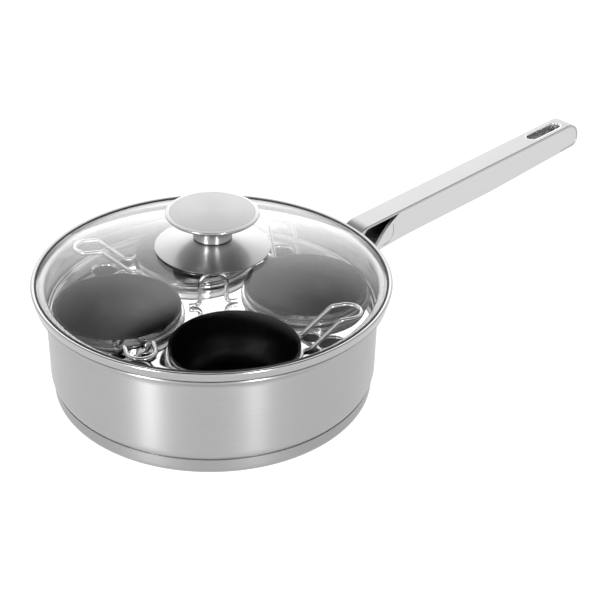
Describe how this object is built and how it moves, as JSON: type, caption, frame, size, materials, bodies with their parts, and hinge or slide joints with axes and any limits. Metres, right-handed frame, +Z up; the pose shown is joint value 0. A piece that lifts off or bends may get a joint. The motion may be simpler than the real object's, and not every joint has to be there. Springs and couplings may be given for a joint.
{
  "type": "egg poacher pan",
  "caption": "Stainless saucepan with a domed glass lid and a lift-out insert that holds lined egg cups with wire finger loops.",
  "frame": {"origin": "centre of the base's flat resting face", "axes": "+Z up; +X along the long handle, from the pan to the handle's tip; +Y to the left of the handle"},
  "size_m": [0.423, 0.2094, 0.1145],
  "materials": {
    "steel_satin": "satin polished stainless steel",
    "steel_base": "satin stainless steel",
    "steel_handle": "fine satin stainless steel",
    "steel_polished": "polished stainless steel",
    "steel_brushed_cap": "brushed stainless steel",
    "steel_mirror": "mirror polished stainless steel",
    "steel_cup": "polished stainless steel",
    "steel_wire": "bright drawn stainless wire",
    "steel_fixings": "plain stainless steel",
    "aluminium_core": "plain aluminium, sealed inside the base",
    "glass_clear": "clear tempered glass",
    "rubber_black": "matte silicone rubber",
    "nonstick_black": "black non-stick coating, soft sheen"
  },
  "bodies": {
    "pan": {"pan_body": "steel_satin", "base_core": "aluminium_core", "base_cap": "steel_base", "handle_strip": "steel_handle", "handle_channel": "steel_handle", "handle_eyelet": "steel_handle"},
    "lid": {"lid_band": "steel_polished", "lid_gasket": "rubber_black", "lid_glass": "glass_clear", "knob_cap": "steel_brushed_cap", "knob_stem": "steel_polished", "knob_ring": "rubber_black", "knob_skirt": "steel_polished", "knob_seal": "rubber_black", "knob_washer": "steel_fixings", "knob_screw": "steel_fixings"},
    "insert": {"insert_plate": "steel_mirror", "insert_loop": "steel_wire", "insert_foot_1": "steel_wire", "insert_foot_2": "steel_wire", "insert_foot_3": "steel_wire", "insert_foot_4": "steel_wire"},
    "cup_1": {"cup_shell_1": "steel_cup", "cup_lining_1": "nonstick_black", "cup_wire_1": "steel_wire"},
    "cup_2": {"cup_shell_2": "steel_cup", "cup_lining_2": "nonstick_black", "cup_wire_2": "steel_wire"},
    "cup_3": {"cup_shell_3": "steel_cup", "cup_lining_3": "nonstick_black", "cup_wire_3": "steel_wire"},
    "cup_4": {"cup_shell_4": "steel_cup", "cup_lining_4": "nonstick_black", "cup_wire_4": "steel_wire"}
  },
  "joints": [
    {"name": "lid_lift", "type": "slide", "parent": "pan", "child": "lid", "axis": [0, 0, 1], "range_m": [0, 0.13]},
    {"name": "insert_lift", "type": "slide", "parent": "pan", "child": "insert", "axis": [0, 0, 1], "range_m": [0, 0.065]},
    {"name": "cup_1_lift", "type": "slide", "parent": "insert", "child": "cup_1", "axis": [0, 0, 1], "range_m": [0, 0.0351]},
    {"name": "cup_2_lift", "type": "slide", "parent": "insert", "child": "cup_2", "axis": [0, 0, 1], "range_m": [0, 0.0351]},
    {"name": "cup_3_lift", "type": "slide", "parent": "insert", "child": "cup_3", "axis": [0, 0, 1], "range_m": [0, 0.0351]},
    {"name": "cup_4_lift", "type": "slide", "parent": "insert", "child": "cup_4", "axis": [0, 0, 1], "range_m": [0, 0.0351]}
  ],
  "couplings": [
    {"joint": "insert_lift", "follows": "lid_lift", "ratio": 0.5},
    {"joint": "cup_1_lift", "follows": "lid_lift", "ratio": 0.27},
    {"joint": "cup_2_lift", "follows": "lid_lift", "ratio": 0.27},
    {"joint": "cup_3_lift", "follows": "lid_lift", "ratio": 0.27},
    {"joint": "cup_4_lift", "follows": "lid_lift", "ratio": 0.27}
  ]
}
